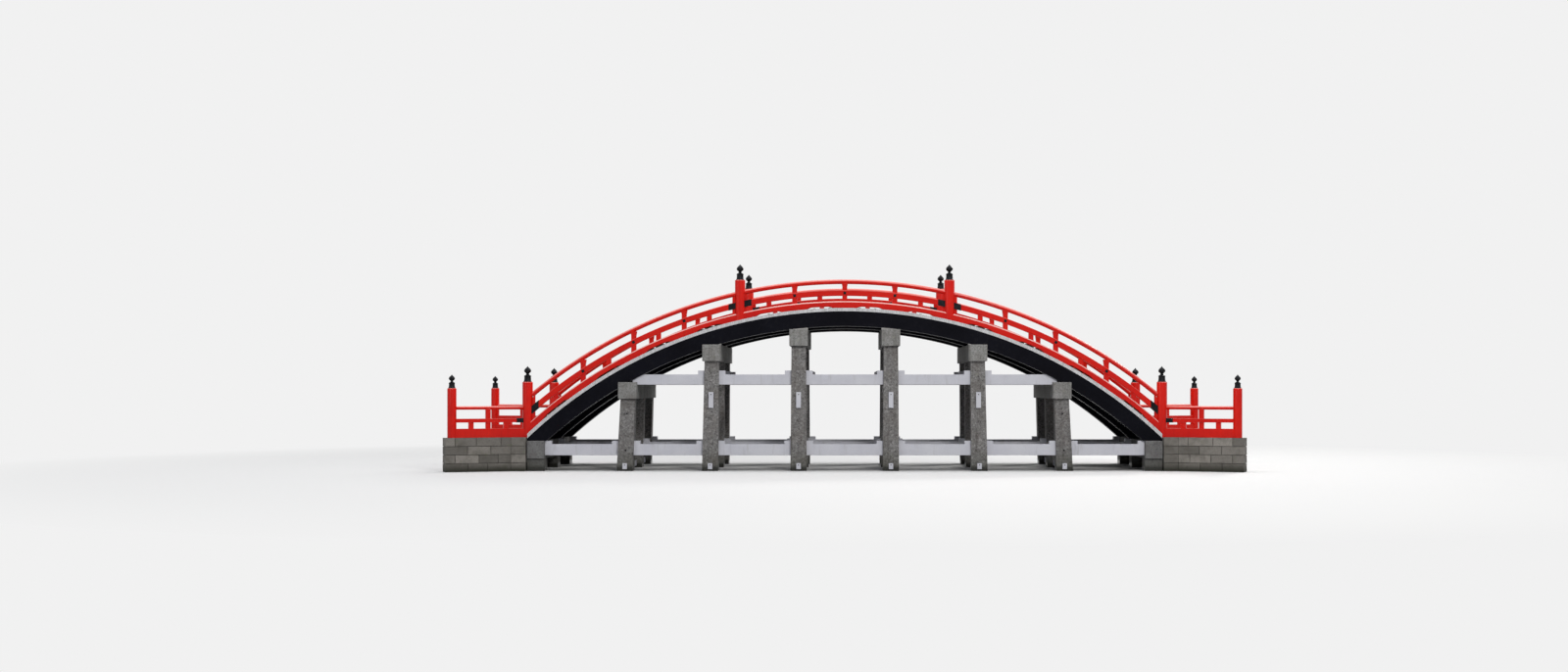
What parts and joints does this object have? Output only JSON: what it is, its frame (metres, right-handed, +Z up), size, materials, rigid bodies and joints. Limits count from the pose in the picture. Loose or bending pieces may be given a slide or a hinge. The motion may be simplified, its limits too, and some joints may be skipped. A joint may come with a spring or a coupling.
{
  "type": "moon bridge",
  "caption": "High arched timber footbridge with a lacquered railing and round newels, on squared stone pillars tied by stone beams.",
  "frame": {"origin": "mid-span and mid-width, at the water line under the pillars' feet", "axes": "+X along the bridge, +Y across it away from the viewer, +Z up"},
  "size_m": [25.0458, 7.6266, 6.5106],
  "materials": {
    "granite": "rough squared granite, speckled and weathered",
    "masonry": "coursed rough stone blocks",
    "pale_stone": "pale dressed stone, matt",
    "black_timber": "black lacquered timber, satin",
    "pale_timber": "painted timber, matt",
    "deck_timber": "weathered boards with white painted ends",
    "tread_timber": "weathered and trodden timber",
    "vermilion_lacquer": "glossy vermilion lacquer",
    "black_metal": "black patinated metal, satin"
  },
  "bodies": {
    "root": {"bent_1_pillars": "granite", "bent_2_pillars": "granite", "bent_3_pillars": "granite", "bent_4_pillars": "granite", "bent_5_pillars": "granite", "bent_6_pillars": "granite", "cap_beams": "granite", "end_bent_pillars": "granite", "abutment_west": "masonry", "abutment_east": "masonry", "wing_footings": "masonry", "lower_tie_beams": "pale_stone", "upper_tie_beams": "pale_stone", "lower_cross_ties": "pale_stone", "upper_cross_ties": "pale_stone", "girder_front": "black_timber", "girder_middle": "black_timber", "girder_back": "black_timber", "bearing_wedges": "pale_timber", "deck_west": "deck_timber", "deck_crown": "deck_timber", "deck_east": "deck_timber", "steps_west": "tread_timber", "steps_east": "tread_timber", "crown_cleats": "tread_timber", "base_rail_front": "vermilion_lacquer", "middle_rail_front": "vermilion_lacquer", "top_rail_front": "vermilion_lacquer", "posts_front": "vermilion_lacquer", "struts_front": "vermilion_lacquer", "newels_front": "vermilion_lacquer", "base_rail_back": "vermilion_lacquer", "middle_rail_back": "vermilion_lacquer", "top_rail_back": "vermilion_lacquer", "posts_back": "vermilion_lacquer", "struts_back": "vermilion_lacquer", "newels_back": "vermilion_lacquer", "wing_railing_west_front": "vermilion_lacquer", "wing_railing_west_back": "vermilion_lacquer", "wing_railing_east_front": "vermilion_lacquer", "wing_railing_east_back": "vermilion_lacquer", "newel_caps": "black_metal", "rail_sleeves": "black_metal"}
  },
  "joints": []
}
